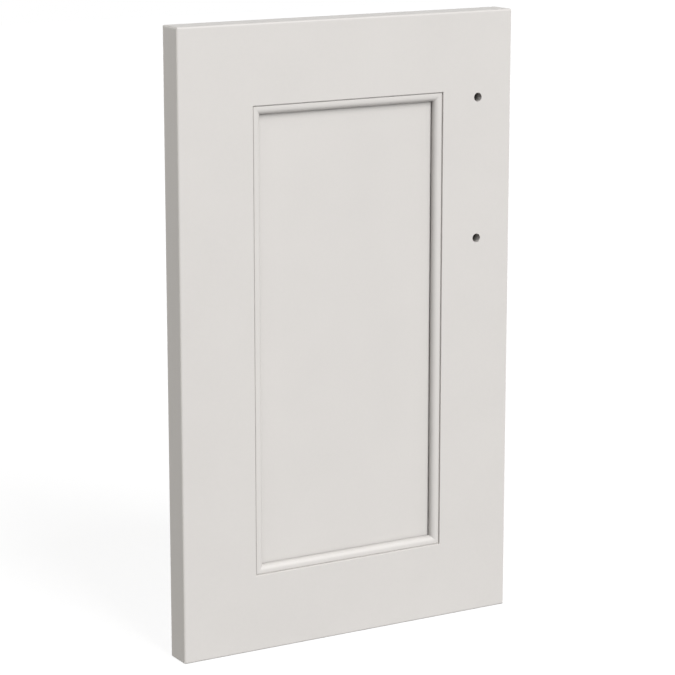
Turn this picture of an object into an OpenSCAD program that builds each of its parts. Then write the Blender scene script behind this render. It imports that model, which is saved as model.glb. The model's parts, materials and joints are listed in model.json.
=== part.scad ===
// Framed door for a bathroom vanity unit, painted all over. Two stiles and two rails
// make the frame, a flat panel sits in a groove round its inside, and four mitred beads
// cover the joint between the panel and the frame.
//
// Millimetres. X runs across the door, Y through it with the front at -Y, and Z up.
// The origin is at the middle of the bottom edge.

/* [Door] */
// Height of the door
door_h = 419; // [360:1:900]
// Width of the door
door_w = 252; // [200:1:600]
// Thickness of the stiles and rails
door_t = 20; // [18:0.5:26]
// Round on the door's outer edges
edge_r = 1.25; // [0.5:0.25:3]

/* [Frame] */
// Width of each stile, the uprights
stile_w = 54; // [52:1:80]
// Width of the top rail
top_rail_w = 53; // [40:0.5:90]
// Width of the bottom rail
bottom_rail_w = 52.5; // [40:0.5:90]
// Depth of the groove that holds the panel and the rails' tenons
groove_d = 10; // [6:0.5:12]
// Solid wood between the end of a stile and its groove
groove_stop = 10; // [6:0.5:20]
// Space beyond the end of each tenon, for glue
tenon_gap = 0.5; // [0.2:0.1:2]

/* [Panel] */
// Thickness of the panel
panel_t = 9; // [6:0.5:10]
// How far the panel's face lies behind the frame's face
panel_recess = 5.5; // [4.5:0.25:7]
// Space between the panel's edges and the bottom of the groove
panel_gap = 0.8; // [0.2:0.1:2]
// Gap on each side of the panel and of the tenons in the groove
groove_fit = 0.1; // [0.05:0.05:0.3]

/* [Bead] */
// Width of the flat along the bead's crest, before it rounds down to its foot
crest_w = 1.25; // [0:0.25:4]
// How far the bead's crest lies behind the frame's face
bead_drop = 0.7; // [0:0.1:1]
// Shadow gap between the bead and the panel, which stays free to move in its groove
bead_gap = 0.9; // [0:0.1:1.2]
// Width of the quirk, the fine groove between the frame and the bead
quirk_w = 0.4; // [0.3:0.1:1.2]
// Depth of the quirk below the bead's crest
quirk_d = 0.6; // [0.4:0.1:1.5]
// Round of the bead on its side towards the quirk
nose_r = 0.7; // [0.3:0.1:1.2]
// Round on the frame's edges round the opening
arris_r = 0.4; // [0.2:0.05:1]

/* [Handle holes] */
// Diameter of the holes for the handle's screws
handle_hole_d = 6; // [4:0.5:8]
// Distance between the two handle holes
handle_pitch = 96; // [64:32:128]
// Height of the upper hole below the top of the door
handle_drop = 58; // [30:1:120]
// Distance of the handle holes from the door's edge
handle_inset = 26.5; // [20:0.5:35]

/* [Hinge holes] */
// Diameter of the round pocket for a concealed hinge
cup_d = 35; // [26:1:35]
// Depth of the hinge pocket
cup_depth = 12.5; // [10:0.5:14]
// Wood between the door's edge and the rim of the pocket
cup_edge = 5; // [3:0.5:6]
// Height of each pocket from the nearer end of the door
cup_inset = 80; // [60:1:120]
// Diameter of the pilot holes for the hinge screws
pilot_d = 3; // [2:0.5:4]
// Depth of the pilot holes
pilot_depth = 10; // [6:0.5:12]
// Distance between the two pilot holes of a hinge
pilot_pitch = 45; // [42:1:52]
// Distance of the pilot holes beyond the middle of the pocket
pilot_offset = 9.5; // [5.5:0.5:9.5]

/* [Hidden] */

$fn = 96;

paint = [0.86, 0.85, 0.83];
panel_paint = [0.85, 0.84, 0.82];
bead_paint = [0.88, 0.87, 0.85];

// Overshoot of a cutting shape past the face that it cuts
cut = 1;

front_y = -door_t / 2;
back_y = door_t / 2;

// The opening inside the frame, with its lower edge on top of the bottom rail
opening_w = door_w - 2 * stile_w;
opening_h = door_h - top_rail_w - bottom_rail_w;
opening_top = bottom_rail_w + opening_h;

panel_front_y = front_y + panel_recess;
panel_y = panel_front_y + panel_t / 2;
panel_reach = groove_d - panel_gap;
groove_w = panel_t + 2 * groove_fit;
tenon_l = groove_d - tenon_gap;

// The bead ends in a quarter round as wide as the bead is high
bead_h = panel_recess - bead_drop - bead_gap;
crest_x = quirk_w + nose_r;
round_x = crest_x + crest_w;
bead_w = round_x + bead_h;

handle_x = door_w / 2 - handle_inset;
handle_top_z = door_h - handle_drop;

cup_x = -door_w / 2 + cup_edge + cup_d / 2;
pilot_x = cup_x + pilot_offset;

// Rectangle about the origin with rounded corners
module rounded_rect(w, h, r) {
    square([w - 2 * r, h], center = true);
    square([w, h - 2 * r], center = true);
    for (x = [-1, 1], y = [-1, 1])
        translate([x * (w / 2 - r), y * (h / 2 - r)])
            circle(r);
}

// The door's outer shape with its edges rounded: the common part of its outlines from
// the front, from above and from the side
module door_blank() {
    translate([0, 0, door_h / 2])
        intersection() {
            rotate([90, 0, 0])
                linear_extrude(door_t, center = true)
                    rounded_rect(door_w, door_h, edge_r);
            linear_extrude(door_h, center = true)
                rounded_rect(door_w, door_t, edge_r);
            rotate([0, 90, 0])
                linear_extrude(door_w, center = true)
                    rounded_rect(door_h, door_t, edge_r);
        }
}

// What easing takes off an edge along Z, where the material fills positive X and Y
module edge_cutter(length, r) {
    linear_extrude(length)
        difference() {
            translate([-cut, -cut])
                square(r + cut);
            translate([r, r])
                circle(r);
        }
}

// The same for both edges of the opening, at the front and at the back, for a member
// that fills positive X from its inner edge
module opening_edge_cutters(length) {
    for (side = [0, 1])
        mirror([0, side, 0])
            translate([0, front_y, 0])
                edge_cutter(length, arris_r);
}

// Round hole along Y that starts at the back face
module back_hole(x, z, d, depth) {
    translate([x, back_y + cut, z])
        rotate([90, 0, 0])
            cylinder(h = depth + cut, d = d);
}

// The stile at positive X, before its holes are drilled
module plain_stile() {
    difference() {
        intersection() {
            door_blank();
            translate([opening_w / 2, front_y, 0])
                cube([stile_w, door_t, door_h]);
        }
        translate([opening_w / 2 - cut, panel_y - groove_w / 2, groove_stop])
            cube([groove_d + cut, groove_w, door_h - 2 * groove_stop]);
        translate([opening_w / 2, 0, bottom_rail_w])
            opening_edge_cutters(opening_h);
    }
}

module hinge_stile() {
    color(paint)
        difference() {
            mirror([1, 0, 0])
                plain_stile();
            for (z = [cup_inset, door_h - cup_inset]) {
                back_hole(cup_x, z, cup_d, cup_depth);
                for (step = [-1, 1])
                    back_hole(pilot_x, z + step * pilot_pitch / 2, pilot_d, pilot_depth);
            }
        }
}

module handle_stile() {
    color(paint)
        difference() {
            plain_stile();
            for (z = [handle_top_z, handle_top_z - handle_pitch])
                back_hole(handle_x, z, handle_hole_d, door_t + cut);
        }
}

// A rail of width w with its outer edge at the door's bottom edge and its groove on top
module rail(w) {
    difference() {
        union() {
            intersection() {
                door_blank();
                translate([-opening_w / 2, front_y, 0])
                    cube([opening_w, door_t, w]);
            }
            translate([-opening_w / 2 - tenon_l, panel_y - panel_t / 2, groove_stop + groove_fit])
                cube([opening_w + 2 * tenon_l, panel_t, w - groove_stop - groove_fit]);
        }
        translate([-door_w / 2, panel_y - groove_w / 2, w - groove_d])
            cube([door_w, groove_w, groove_d + cut]);
        translate([-opening_w / 2, 0, w])
            rotate([0, 90, 0])
                opening_edge_cutters(opening_w);
    }
}

module top_rail() {
    color(paint)
        translate([0, 0, door_h])
            mirror([0, 0, 1])
                rail(top_rail_w);
}

module bottom_rail() {
    color(paint)
        rail(bottom_rail_w);
}

module centre_panel() {
    color(panel_paint)
        translate([-opening_w / 2 - panel_reach, panel_front_y, bottom_rail_w - panel_reach])
            cube([opening_w + 2 * panel_reach, panel_t, opening_h + 2 * panel_reach]);
}

// Section of the bead: X from the frame's edge towards the panel, Y up from its back.
// The body stands against the frame, and the quirk runs between the frame and the nose.
module bead_section() {
    square([crest_x, bead_h - quirk_d]);
    translate([quirk_w, 0])
        square([nose_r, bead_h - nose_r]);
    intersection() {
        translate([crest_x, bead_h - nose_r])
            circle(nose_r);
        translate([quirk_w, bead_h - nose_r])
            square(nose_r);
    }
    translate([crest_x, 0])
        square([crest_w, bead_h]);
    translate([round_x, 0])
        intersection() {
            circle(bead_h);
            square(bead_h);
        }
}

// A bead along X with its back on the XY plane, its straight side on X and mitred ends
module bead_strip(length) {
    intersection() {
        rotate([90, 0, 90])
            linear_extrude(length)
                bead_section();
        linear_extrude(bead_h + cut)
            polygon([[0, 0], [length, 0], [length - bead_w, bead_w], [bead_w, bead_w]]);
    }
}

// A bead along one side of the opening, from a corner of it, turned about the door's Y
module bead(x, z, turn, length) {
    color(bead_paint)
        translate([x, panel_front_y - bead_gap, z])
            rotate([90, 0, 0])
                rotate([0, 0, turn])
                    bead_strip(length);
}

module left_bead() {
    bead(-opening_w / 2, opening_top, -90, opening_h);
}

module right_bead() {
    bead(opening_w / 2, bottom_rail_w, 90, opening_h);
}

module top_bead() {
    bead(opening_w / 2, opening_top, 180, opening_w);
}

module bottom_bead() {
    bead(-opening_w / 2, bottom_rail_w, 0, opening_w);
}

hinge_stile();
handle_stile();
top_rail();
bottom_rail();
centre_panel();
left_bead();
right_bead();
top_bead();
bottom_bead();
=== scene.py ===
"""Framed vanity unit door in satin paint, on a plain pale floor, in soft studio light."""
import json
import math

import bpy
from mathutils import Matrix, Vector


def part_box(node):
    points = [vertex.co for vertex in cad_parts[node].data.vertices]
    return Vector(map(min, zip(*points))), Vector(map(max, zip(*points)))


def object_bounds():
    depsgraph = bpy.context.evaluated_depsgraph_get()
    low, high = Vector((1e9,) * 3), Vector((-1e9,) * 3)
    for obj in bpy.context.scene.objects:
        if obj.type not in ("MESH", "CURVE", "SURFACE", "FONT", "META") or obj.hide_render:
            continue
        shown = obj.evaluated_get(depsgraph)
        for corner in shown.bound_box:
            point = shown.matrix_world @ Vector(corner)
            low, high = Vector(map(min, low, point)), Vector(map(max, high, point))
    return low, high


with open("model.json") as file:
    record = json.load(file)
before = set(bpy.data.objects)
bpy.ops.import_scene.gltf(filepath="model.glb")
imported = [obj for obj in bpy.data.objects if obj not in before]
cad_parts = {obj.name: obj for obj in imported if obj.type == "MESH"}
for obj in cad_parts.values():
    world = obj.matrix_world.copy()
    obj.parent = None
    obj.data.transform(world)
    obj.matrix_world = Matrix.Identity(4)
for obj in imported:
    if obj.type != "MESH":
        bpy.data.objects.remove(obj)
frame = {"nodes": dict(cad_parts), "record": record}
cad_low, cad_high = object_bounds()

MM = 0.001

# Paint, as linear colour, and the share by which the film is lighter and darker in places
PAINT = (0.705, 0.680, 0.655)
PAINT_SPREAD = 0.011
# Roughness of the film, from its glossiest places to its dullest
SATIN = (0.40, 0.52)
# Size of the film's cloudy unevenness and of its fine speckle, the speckle's part in the colour,
# and the noise values between which the film goes from its darkest and glossiest to its lightest
# and dullest
CLOUD = 45 * MM
SPECKLE = 2.2 * MM
SPECKLE_SHARE = 0.35
NOISE_SPAN = (0.35, 0.65)
# Size of the orange peel of the sprayed film and of its longer ripple, how many times as high
# the ripple is, and the height of the peel
PEEL = 2.8 * MM
RIPPLE = 14 * MM
RIPPLE_TIMES = 2.5
PEEL_HEIGHT = 0.012 * MM

# Painted shade in creases: nodes whose colour is darkened where little round a point is open, how
# far round a point is looked, how much of the colour is lost where nothing is open, and how many
# rays do the looking
PAINTED_SHADE_NODES = ("centre_panel", "left_bead", "right_bead", "top_bead", "bottom_bead")
PAINTED_SHADE_REACH = 14 * MM
PAINTED_SHADE_DEPTH = 0.4
PAINTED_SHADE_SAMPLES = 16

# Bare board in the drilled holes of a node, as linear colour, and its least roughness. The hinge
# stile's is the board's own colour; the handle stile's near-black is painted shade deep in its holes
BARE_BOARD_AND_HOLE_SHADE = {
    "hinge_stile": (0.42, 0.31, 0.21),
    "handle_stile": (0.11, 0.10, 0.09),
}
BARE_ROUGHNESS = 0.85
# Fibres of the board: their size, how much longer they are along each axis, their shades as
# shares of the colour, and how many times as high as the orange peel they are
FIBRE = 0.5 * MM
FIBRE_STRETCH = (1, 2.5, 1)
FIBRE_SHADES = (0.72, 1.2)
FIBRE_TIMES = 6.0
# Paint mist in the holes: the depths between which it gives out, how unevenly and over what
# distance it does that, the share of bare board where it is thickest, and the front arris,
# which stays painted. In the handle holes, whose board colour is painted shade, this paints
# them darker with depth
MIST_DEPTH = (1.5 * MM, 8.0 * MM)
MIST_RAGGED = 2 * MM
MIST_PATCH = 1.5 * MM
MIST_LEAST = 0.05
FRONT_SKIN = 0.1 * MM
# Room beyond a hole's radius in which its wall is looked for
HOLE_RIM = 0.03 * MM

# Camera: where it stands in metres, how far it is turned to the right and tilted down, and its
# focal length and the width of its sensor in millimetres
CAMERA_AT = (-0.8558, -1.4614, 0.5802)
CAMERA_TURN = math.radians(30.243)
CAMERA_TILT = math.radians(12.496)
CAMERA_LENS = 138.32
SENSOR = 36.0

# Even light from all round, as a share of full white
AMBIENT = 0.10
# Soft lamps, all at one distance in metres: name, turn to the right from straight in front and
# rise above the horizon, both in degrees, width and length in metres, what the lamp adds to a
# white surface that faces it, as a share of full white, and the lamp's colour
LAMP_DISTANCE = 18.0
WHITE = (1.0, 1.0, 1.0)
WARM_WHITE = (1.0, 0.98, 0.93)
LAMPS = (
    ("key", 8, 31, 9.0, 18.0, 1.25, WHITE),
    ("left", -106, 5, 7.5, 3.0, 0.325, WARM_WHITE),
    ("right", 115, 5, 7.5, 3.0, 0.35, WHITE),
    ("back", 180, 5, 7.5, 3.0, 0.49, WHITE),
)

# Floor: its size in metres, how much of the light it throws back onto the door, and what the
# camera sees: a glow and a share of the light on it, where the door's shadow shows
FLOOR_SIZE = 8.0
FLOOR_BOUNCE = 0.12
FLOOR_GLOW = 0.88
FLOOR_LIT = 0.24


def link(tree, source, target):
    """Joins two sockets."""
    tree.links.new(source, target)


def math_node(tree, operation, first, second=None, third=None):
    """A Math node. Inputs are sockets or numbers. Returns its output."""
    node = tree.nodes.new("ShaderNodeMath")
    node.operation = operation
    for socket, value in zip(node.inputs, (first, second, third)):
        if value is None:
            continue
        if isinstance(value, (int, float)):
            socket.default_value = value
        else:
            link(tree, value, socket)
    return node.outputs[0]


def noise(tree, place, size, detail, roughness=0.5, stretch=(1, 1, 1)):
    """Noise with features about size metres across, longer along an axis where stretch is over 1."""
    scaled = tree.nodes.new("ShaderNodeVectorMath")
    scaled.operation = "DIVIDE"
    link(tree, place, scaled.inputs[0])
    scaled.inputs[1].default_value = tuple(size * s for s in stretch)
    node = tree.nodes.new("ShaderNodeTexNoise")
    node.inputs["Scale"].default_value = 1.0
    node.inputs["Detail"].default_value = detail
    node.inputs["Roughness"].default_value = roughness
    link(tree, scaled.outputs[0], node.inputs["Vector"])
    return node.outputs["Fac"]


def remap(tree, value, low, high, out_low, out_high):
    """value from low..high to out_low..out_high, clamped."""
    node = tree.nodes.new("ShaderNodeMapRange")
    ends = (("From Min", low), ("From Max", high), ("To Min", out_low), ("To Max", out_high))
    for name, number in ends:
        node.inputs[name].default_value = number
    link(tree, value, node.inputs["Value"])
    return node.outputs["Result"]


def mix_colour(tree, share, first, second):
    """Colour between first and second. Each is a socket or a linear colour."""
    node = tree.nodes.new("ShaderNodeMix")
    node.data_type = "RGBA"
    link(tree, share, node.inputs["Factor"])
    for name, value in (("A", first), ("B", second)):
        socket = next(s for s in node.inputs if s.name == name and s.type == "RGBA")
        if isinstance(value, tuple):
            socket.default_value = (*value, 1.0)
        else:
            link(tree, value, socket)
    return next(s for s in node.outputs if s.type == "RGBA")


def scaled_colour(colour, share):
    """A linear colour times a share."""
    return tuple(c * share for c in colour)


def grey(level):
    """An opaque grey, as linear colour."""
    return (level, level, level, 1)


def drilled_holes(node):
    """(x, z, radius) in metres of each drilled hole in a CAD node, from the record's mounts.

    Each pattern is a pair of holes, one above the other.
    """
    low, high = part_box(node)
    found = []
    for mount in frame["record"]["mounts"]:
        x, _, z = mount["pos_m"]
        dims = mount["dims"]
        if not low[0] < x < high[0]:
            continue
        if mount["kind"] == "bore":
            found.append((x, z, dims["r_mm"] * MM))
        elif mount["kind"] == "bolt_pattern":
            half = dims["spacing_y_mm"] * MM / 2
            found += [(x, z + step, dims["hole_r_mm"] * MM) for step in (-half, half)]
    return found


def in_holes(tree, axes, holes):
    """1 within any hole's circle and 0 elsewhere, as seen along Y."""
    inside = None
    for x, z, radius in holes:
        across = math_node(tree, "SUBTRACT", axes.outputs["X"], x)
        up = math_node(tree, "SUBTRACT", axes.outputs["Z"], z)
        square = math_node(tree, "MULTIPLY_ADD", across, across, math_node(tree, "MULTIPLY", up, up))
        here = math_node(tree, "LESS_THAN", square, (radius + HOLE_RIM) ** 2)
        inside = here if inside is None else math_node(tree, "MAXIMUM", inside, here)
    return inside


def board_and_shade_share(tree, place, holes):
    """0 on the painted faces, a little at the mouths of the holes, and 1 deeper in them."""
    axes = tree.nodes.new("ShaderNodeSeparateXYZ")
    link(tree, place, axes.inputs[0])
    inside = in_holes(tree, axes, holes)
    from_front = math_node(tree, "SUBTRACT", axes.outputs["Y"], cad_low.y)
    from_back = math_node(tree, "SUBTRACT", cad_high.y, axes.outputs["Y"])
    depth = math_node(tree, "MINIMUM", from_front, from_back)
    patches = noise(tree, place, MIST_PATCH, detail=3.0)
    ragged = math_node(tree, "MULTIPLY_ADD", patches, MIST_RAGGED, depth)
    behind_front = math_node(tree, "GREATER_THAN", from_front, FRONT_SKIN)
    inside = math_node(tree, "MULTIPLY", inside, behind_front)
    share = remap(tree, ragged, *MIST_DEPTH, MIST_LEAST, 1.0)
    return math_node(tree, "MULTIPLY", inside, share)


def sprayed_film(tree, place):
    """Colour, roughness and height of the paint film: cloudy, speckled and gently rippled."""
    cloud = noise(tree, place, CLOUD, detail=3.0)
    speckle = noise(tree, place, SPECKLE, detail=2.0)
    clouded = math_node(tree, "MULTIPLY", cloud, 1 - SPECKLE_SHARE)
    spread = math_node(tree, "MULTIPLY_ADD", speckle, SPECKLE_SHARE, clouded)
    share = remap(tree, spread, *NOISE_SPAN, 0.0, 1.0)
    darker, lighter = (scaled_colour(PAINT, 1 + side * PAINT_SPREAD) for side in (-1, 1))
    colour = mix_colour(tree, share, darker, lighter)
    both = math_node(tree, "ADD", cloud, speckle)
    rough = remap(tree, both, *(2 * end for end in NOISE_SPAN), *SATIN)
    peel = noise(tree, place, PEEL, detail=1.5)
    ripple = noise(tree, place, RIPPLE, detail=1.0)
    height = math_node(tree, "MULTIPLY_ADD", ripple, RIPPLE_TIMES, peel)
    return colour, rough, height


def with_board_and_shade_in_holes(tree, place, holes, board_and_hole_shade, film):
    """The film's colour, roughness and height, with fibrous board in the holes; painted shade in handle
    holes.
    """
    colour, rough, height = film
    share = board_and_shade_share(tree, place, holes)
    fibre = noise(tree, place, FIBRE, detail=4.0, roughness=0.7, stretch=FIBRE_STRETCH)
    # Board colour; in the handle holes a near-black that is painted shade
    board_and_shade = mix_colour(tree, fibre, *(scaled_colour(board_and_hole_shade, shade) for shade in FIBRE_SHADES))
    colour = mix_colour(tree, share, colour, board_and_shade)
    rough = math_node(tree, "MAXIMUM", rough, math_node(tree, "MULTIPLY", share, BARE_ROUGHNESS))
    shown = math_node(tree, "MULTIPLY", fibre, share)
    height = math_node(tree, "MULTIPLY_ADD", shown, FIBRE_TIMES, height)
    return colour, rough, height


def painted_crease_shade(tree, colour):
    """A colour socket, darker in creases and grooves: painted shade, by how open each point is."""
    openness = tree.nodes.new("ShaderNodeAmbientOcclusion")
    openness.samples = PAINTED_SHADE_SAMPLES
    openness.inputs["Distance"].default_value = PAINTED_SHADE_REACH
    share = math_node(tree, "MULTIPLY_ADD", openness.outputs["AO"], PAINTED_SHADE_DEPTH, 1 - PAINTED_SHADE_DEPTH)
    shaded = tree.nodes.new("ShaderNodeVectorMath")
    shaded.operation = "SCALE"
    link(tree, colour, shaded.inputs[0])
    link(tree, share, shaded.inputs["Scale"])
    return shaded.outputs[0]


def paint(name, holes, board_and_hole_shade, with_painted_shade):
    """Sprayed satin paint, painted shade in its creases if asked, and board or dark painted shade in
    holes.
    """
    material = bpy.data.materials.new(name)
    material.use_nodes = True
    tree = material.node_tree
    shader = tree.nodes["Principled BSDF"]
    place = tree.nodes.new("ShaderNodeTexCoord").outputs["Object"]

    film = sprayed_film(tree, place)
    if holes:
        film = with_board_and_shade_in_holes(tree, place, holes, board_and_hole_shade, film)
    colour, rough, height = film
    if with_painted_shade:
        # Painted shade: the colour darkened in creases by how open each point is
        colour = painted_crease_shade(tree, colour)

    bump = tree.nodes.new("ShaderNodeBump")
    bump.inputs["Strength"].default_value = 1.0
    bump.inputs["Distance"].default_value = PEEL_HEIGHT
    link(tree, height, bump.inputs["Height"])
    link(tree, colour, shader.inputs["Base Color"])
    link(tree, rough, shader.inputs["Roughness"])
    link(tree, bump.outputs[0], shader.inputs["Normal"])
    return material


def dress(node, material):
    """Gives every slot of a CAD node one material."""
    thing = frame["nodes"][node]
    if not thing.material_slots:
        thing.data.materials.append(material)
    for slot in thing.material_slots:
        slot.material = material


def background_rays(tree):
    """1 for rays that see the backdrop as such: camera, glossy and transmission rays."""
    path = tree.nodes.new("ShaderNodeLightPath")
    seen = math_node(tree, "ADD", path.outputs["Is Camera Ray"], path.outputs["Is Glossy Ray"])
    seen = math_node(tree, "ADD", seen, path.outputs["Is Transmission Ray"])
    return math_node(tree, "MINIMUM", seen, 1.0)


def make_world():
    """Even soft light from all round, seen as plain white."""
    world = bpy.data.worlds.new("studio")
    bpy.context.scene.world = world
    world.use_nodes = True
    tree = world.node_tree
    tree.nodes.clear()
    mix = tree.nodes.new("ShaderNodeMixShader")
    link(tree, background_rays(tree), mix.inputs[0])
    for socket, strength in ((mix.inputs[1], AMBIENT), (mix.inputs[2], 1.0)):
        background = tree.nodes.new("ShaderNodeBackground")
        background.inputs["Color"].default_value = grey(1)
        background.inputs["Strength"].default_value = strength
        link(tree, background.outputs[0], socket)
    out = tree.nodes.new("ShaderNodeOutputWorld")
    link(tree, mix.outputs[0], out.inputs["Surface"])


def make_lamp(name, turn, rise, width, length, level, colour):
    """A large soft lamp that points at the door."""
    turn, rise = math.radians(turn), math.radians(rise)
    flat = math.cos(rise)
    way = Vector((math.sin(turn) * flat, -math.cos(turn) * flat, math.sin(rise)))
    data = bpy.data.lights.new(name, "AREA")
    data.shape = "RECTANGLE"
    data.size = width
    data.size_y = length
    data.energy = level * (math.pi * LAMP_DISTANCE) ** 2
    data.color = colour
    lamp = bpy.data.objects.new(name, data)
    lamp.location = (cad_low + cad_high) / 2 + way * LAMP_DISTANCE
    lamp.rotation_euler = way.to_track_quat("Z", "Y").to_euler()
    lamp.visible_camera = False
    bpy.context.scene.collection.objects.link(lamp)


def diffuse(tree, level):
    """A plain grey diffuse shader. Returns its output."""
    shader = tree.nodes.new("ShaderNodeBsdfDiffuse")
    shader.inputs["Color"].default_value = grey(level)
    return shader.outputs[0]


def floor_material():
    """Nearly white with the shadow on it where the backdrop is seen, and darker to all other rays."""
    material = bpy.data.materials.new("floor")
    material.use_nodes = True
    tree = material.node_tree
    tree.nodes.clear()
    glow = tree.nodes.new("ShaderNodeEmission")
    glow.inputs["Strength"].default_value = FLOOR_GLOW
    seen = tree.nodes.new("ShaderNodeAddShader")
    link(tree, diffuse(tree, FLOOR_LIT), seen.inputs[0])
    link(tree, glow.outputs[0], seen.inputs[1])
    mix = tree.nodes.new("ShaderNodeMixShader")
    link(tree, background_rays(tree), mix.inputs[0])
    link(tree, diffuse(tree, FLOOR_BOUNCE), mix.inputs[1])
    link(tree, seen.outputs[0], mix.inputs[2])
    out = tree.nodes.new("ShaderNodeOutputMaterial")
    link(tree, mix.outputs[0], out.inputs["Surface"])
    return material


def make_floor():
    """A pale floor that shows the door's shadow."""
    bpy.ops.mesh.primitive_plane_add(size=FLOOR_SIZE, location=(0, 0, cad_low.z))
    floor = bpy.context.object
    floor.name = "floor"
    floor.data.materials.append(floor_material())


def make_camera():
    """The photograph's view: from the left of the door and a little above it."""
    data = bpy.data.cameras.new("camera")
    data.sensor_width = SENSOR
    data.lens = CAMERA_LENS
    camera = bpy.data.objects.new("camera", data)
    camera.location = CAMERA_AT
    camera.rotation_euler = (math.pi / 2 - CAMERA_TILT, 0, -CAMERA_TURN)
    bpy.context.scene.collection.objects.link(camera)
    bpy.context.scene.camera = camera


make_camera()
make_world()
for lamp in LAMPS:
    make_lamp(*lamp)
make_floor()
for name in frame["nodes"]:
    # The panel and beads get painted shade in their creases, and the handle holes near-black painted
    # shade
    dress(name, paint(name + "_paint", drilled_holes(name), BARE_BOARD_AND_HOLE_SHADE.get(name), name in PAINTED_SHADE_NODES))

bpy.context.scene.view_settings.view_transform = "Standard"
